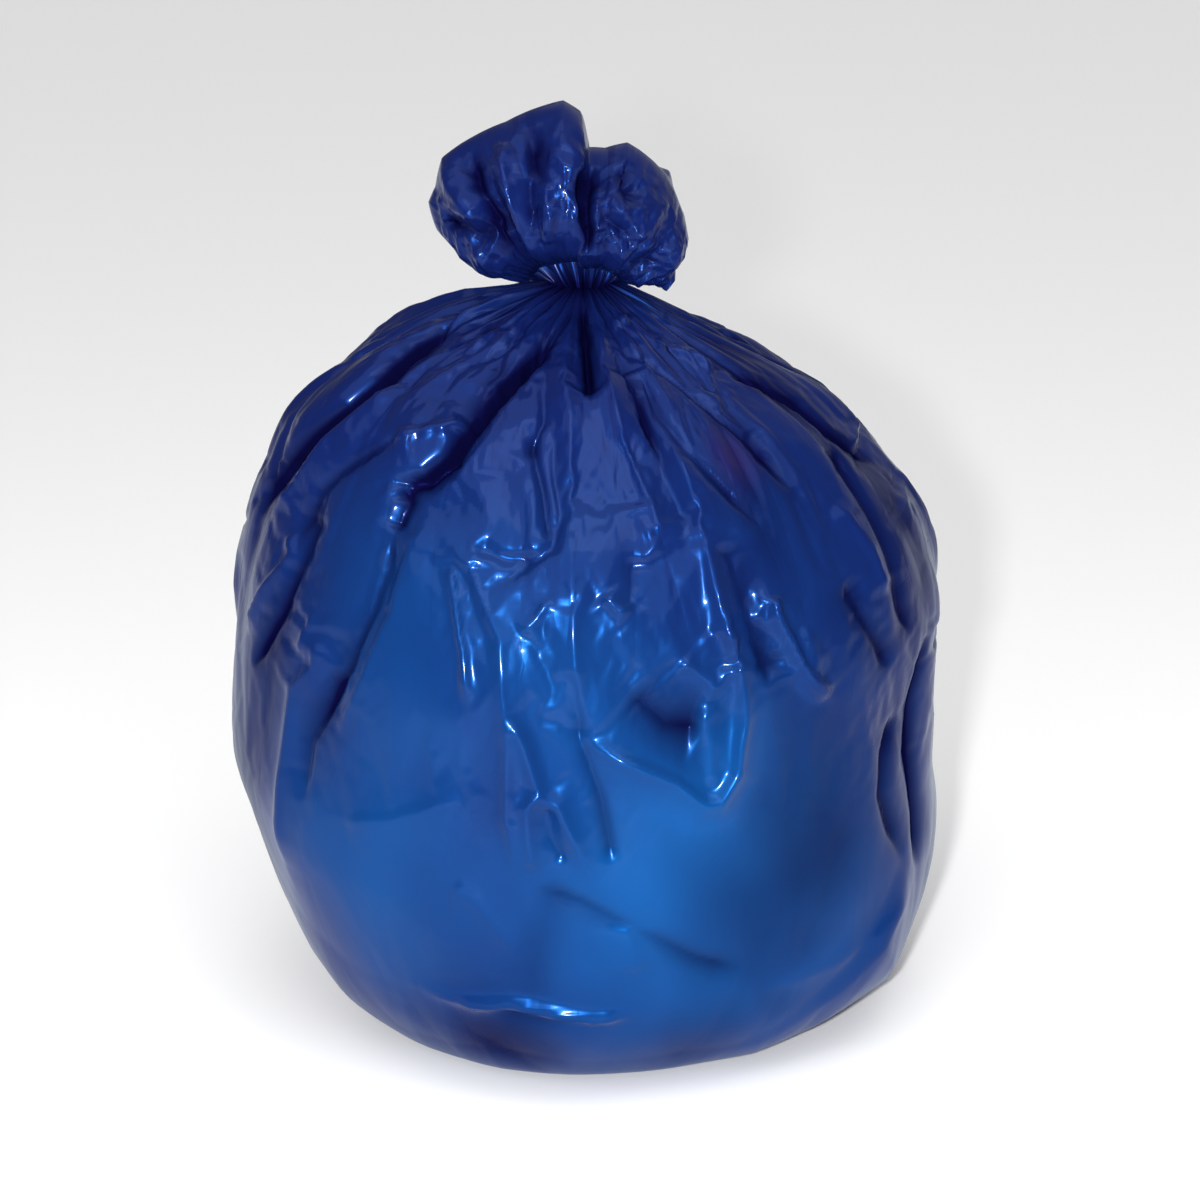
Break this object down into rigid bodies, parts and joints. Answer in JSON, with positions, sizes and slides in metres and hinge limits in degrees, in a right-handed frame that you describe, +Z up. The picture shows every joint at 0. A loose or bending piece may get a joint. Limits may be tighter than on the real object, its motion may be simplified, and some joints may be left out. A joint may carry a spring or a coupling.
{
  "type": "trash bag",
  "caption": "Full blue plastic trash bag, gathered and tied at the neck, standing on its flattened underside.",
  "frame": {"origin": "on the ground, under the middle of the bag's outline seen from above", "axes": "+Z up, from the underside to the tuft above the tie; -Y is the front, as pictured"},
  "size_m": [0.5032, 0.4687, 0.6441],
  "materials": {
    "film": "gloss"
  },
  "bodies": {
    "root": {"trash_bag": "film"}
  },
  "joints": []
}
